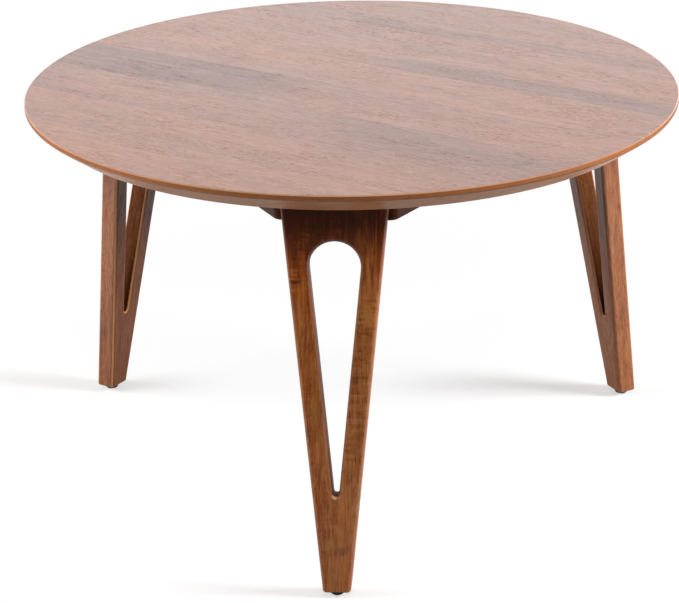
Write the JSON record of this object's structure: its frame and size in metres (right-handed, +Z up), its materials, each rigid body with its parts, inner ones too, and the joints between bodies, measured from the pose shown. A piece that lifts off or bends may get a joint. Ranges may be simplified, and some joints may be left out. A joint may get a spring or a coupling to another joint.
{
  "type": "round cocktail table",
  "caption": "Round wooden cocktail table: a bevelled top of glued boards on splayed V-shaped plank legs with teardrop slots, bolted to a triangular under-frame.",
  "frame": {"origin": "on the floor under the centre of the round top", "axes": "+Z up, -Y towards the front leg, +X to the right seen from the front leg"},
  "size_m": [0.7499, 0.7611, 0.458],
  "materials": {
    "top_wood": "satin clear lacquer over stained hardwood boards",
    "leg_wood": "satin clear lacquer over stained hardwood",
    "frame_wood": "stained hardwood, thin lacquer",
    "dowel_wood": "raw hardwood",
    "bolt_steel": "black oxide",
    "zinc_steel": "zinc plated",
    "insert_brass": "turned brass",
    "glide_nylon": "moulded nylon"
  },
  "bodies": {
    "root": {"top_board_1": "top_wood", "top_board_2": "top_wood", "top_board_3": "top_wood", "top_board_4": "top_wood", "top_board_5": "top_wood", "top_board_6": "top_wood", "top_board_7": "top_wood", "top_board_8": "top_wood", "leg_front": "leg_wood", "leg_left": "leg_wood", "leg_right": "leg_wood", "rail_back": "frame_wood", "rail_left": "frame_wood", "rail_right": "frame_wood", "corner_block_front": "frame_wood", "corner_block_left": "frame_wood", "corner_block_right": "frame_wood", "frame_dowels_front": "dowel_wood", "frame_dowels_left": "dowel_wood", "frame_dowels_right": "dowel_wood", "leg_bolts_front": "bolt_steel", "leg_bolts_left": "bolt_steel", "leg_bolts_right": "bolt_steel", "leg_washers_front": "zinc_steel", "leg_washers_left": "zinc_steel", "leg_washers_right": "zinc_steel", "leg_inserts_front": "insert_brass", "leg_inserts_left": "insert_brass", "leg_inserts_right": "insert_brass", "rail_screws_back": "zinc_steel", "rail_screws_left": "zinc_steel", "rail_screws_right": "zinc_steel", "block_screw_front": "zinc_steel", "block_screw_left": "zinc_steel", "block_screw_right": "zinc_steel", "glide_front": "glide_nylon", "glide_left": "glide_nylon", "glide_right": "glide_nylon", "glide_nail_front": "zinc_steel", "glide_nail_left": "zinc_steel", "glide_nail_right": "zinc_steel"}
  },
  "joints": []
}
